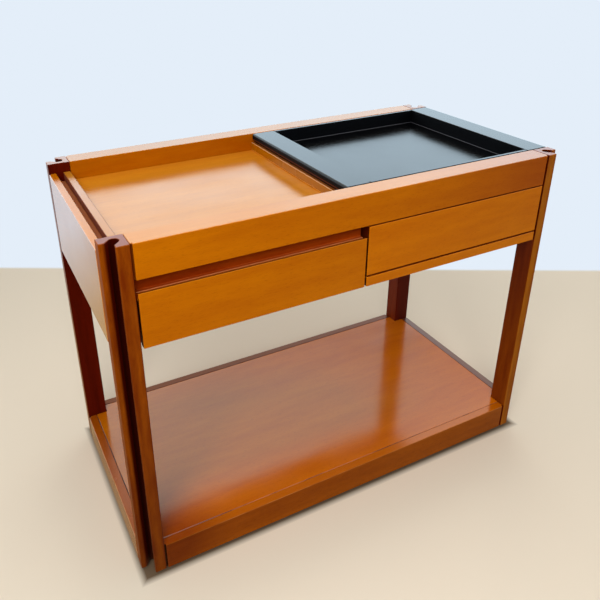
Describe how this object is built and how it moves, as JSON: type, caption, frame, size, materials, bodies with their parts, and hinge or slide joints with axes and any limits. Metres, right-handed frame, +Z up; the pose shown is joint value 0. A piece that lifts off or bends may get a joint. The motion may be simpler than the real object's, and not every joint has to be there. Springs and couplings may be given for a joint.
{
  "type": "bar cart",
  "caption": "Wooden bar cart on hidden casters with slotted corner posts, an open well, a black lift-off tray, drawers and a low shelf.",
  "frame": {"origin": "on the floor under the middle of the cart", "axes": "+X to the right along the length, +Y to the rear, +Z up; the front with the left drawer faces -Y"},
  "size_m": [0.885, 0.443, 0.66],
  "materials": {
    "front_wood": "honey-brown wood with a satin-gloss lacquer",
    "post_wood": "darker brown wood with a satin-gloss lacquer",
    "base_wood": "reddish-brown wood with a satin-gloss lacquer",
    "box_wood": "pale matt wood",
    "black_lacquer": "black lacquer on wood, satin",
    "zinc": "zinc-plated steel sheet",
    "wheel_rubber": "matt dark rubber"
  },
  "bodies": {
    "cart": {"leg_front_left": "post_wood", "leg_front_right": "post_wood", "leg_rear_left": "post_wood", "leg_rear_right": "post_wood", "upper_rail_front": "front_wood", "upper_rail_rear": "front_wood", "fixed_panel_front": "front_wood", "fixed_panel_rear": "front_wood", "lower_rail_front": "front_wood", "lower_rail_rear": "front_wood", "end_panel_left": "front_wood", "end_panel_right": "front_wood", "batten_left": "front_wood", "batten_right": "front_wood", "top_panel": "front_wood", "divider": "front_wood", "partition": "box_wood", "outer_runner_left": "box_wood", "outer_runner_right": "box_wood", "inner_runner_left": "box_wood", "inner_runner_right": "box_wood", "skirt_front": "base_wood", "skirt_rear": "base_wood", "skirt_left": "base_wood", "skirt_right": "base_wood", "shelf": "base_wood", "caster_plate_front_left": "zinc", "caster_plate_front_right": "zinc", "caster_plate_rear_left": "zinc", "caster_plate_rear_right": "zinc"},
    "drawer_left": {"drawer_left_face": "front_wood", "drawer_left_box_front": "post_wood", "drawer_left_side_outer": "box_wood", "drawer_left_side_inner": "box_wood", "drawer_left_back": "box_wood", "drawer_left_bottom": "box_wood"},
    "drawer_right": {"drawer_right_face": "front_wood", "drawer_right_box_front": "post_wood", "drawer_right_side_outer": "box_wood", "drawer_right_side_inner": "box_wood", "drawer_right_back": "box_wood", "drawer_right_bottom": "box_wood"},
    "tray": {"tray_floor": "black_lacquer", "tray_wall_front": "black_lacquer", "tray_wall_rear": "black_lacquer", "tray_side_left": "black_lacquer", "tray_side_right": "black_lacquer"},
    "swivel_front_left": {"caster_fork_front_left": "zinc", "caster_axle_front_left": "zinc"},
    "swivel_front_right": {"caster_fork_front_right": "zinc", "caster_axle_front_right": "zinc"},
    "swivel_rear_left": {"caster_fork_rear_left": "zinc", "caster_axle_rear_left": "zinc"},
    "swivel_rear_right": {"caster_fork_rear_right": "zinc", "caster_axle_rear_right": "zinc"},
    "wheel_front_left": {"caster_wheel_front_left": "wheel_rubber"},
    "wheel_front_right": {"caster_wheel_front_right": "wheel_rubber"},
    "wheel_rear_left": {"caster_wheel_rear_left": "wheel_rubber"},
    "wheel_rear_right": {"caster_wheel_rear_right": "wheel_rubber"}
  },
  "joints": [
    {"name": "drawer_left_slide", "type": "slide", "parent": "cart", "child": "drawer_left", "axis": [0, -1, 0], "range_m": [0, 0.28]},
    {"name": "drawer_right_slide", "type": "slide", "parent": "cart", "child": "drawer_right", "axis": [0, 1, 0], "range_m": [0, 0.28]},
    {"name": "tray_lift", "type": "slide", "parent": "cart", "child": "tray", "axis": [0, 0, 1], "range_m": [0, 0.15]},
    {"name": "swivel_front_left_turn", "type": "hinge", "parent": "cart", "child": "swivel_front_left", "pos_m": [-0.3575, -0.1365, 0.0459], "axis": [0, 0, 1], "continuous": true},
    {"name": "swivel_front_right_turn", "type": "hinge", "parent": "cart", "child": "swivel_front_right", "pos_m": [0.3575, -0.1365, 0.0459], "axis": [0, 0, 1], "continuous": true},
    {"name": "swivel_rear_left_turn", "type": "hinge", "parent": "cart", "child": "swivel_rear_left", "pos_m": [-0.3575, 0.1365, 0.0459], "axis": [0, 0, 1], "continuous": true},
    {"name": "swivel_rear_right_turn", "type": "hinge", "parent": "cart", "child": "swivel_rear_right", "pos_m": [0.3575, 0.1365, 0.0459], "axis": [0, 0, 1], "continuous": true},
    {"name": "wheel_front_left_roll", "type": "hinge", "parent": "swivel_front_left", "child": "wheel_front_left", "pos_m": [-0.3455, -0.1365, 0.0175], "axis": [0, 1, 0], "continuous": true},
    {"name": "wheel_front_right_roll", "type": "hinge", "parent": "swivel_front_right", "child": "wheel_front_right", "pos_m": [0.3695, -0.1365, 0.0175], "axis": [0, 1, 0], "continuous": true},
    {"name": "wheel_rear_left_roll", "type": "hinge", "parent": "swivel_rear_left", "child": "wheel_rear_left", "pos_m": [-0.3455, 0.1365, 0.0175], "axis": [0, 1, 0], "continuous": true},
    {"name": "wheel_rear_right_roll", "type": "hinge", "parent": "swivel_rear_right", "child": "wheel_rear_right", "pos_m": [0.3695, 0.1365, 0.0175], "axis": [0, 1, 0], "continuous": true}
  ]
}
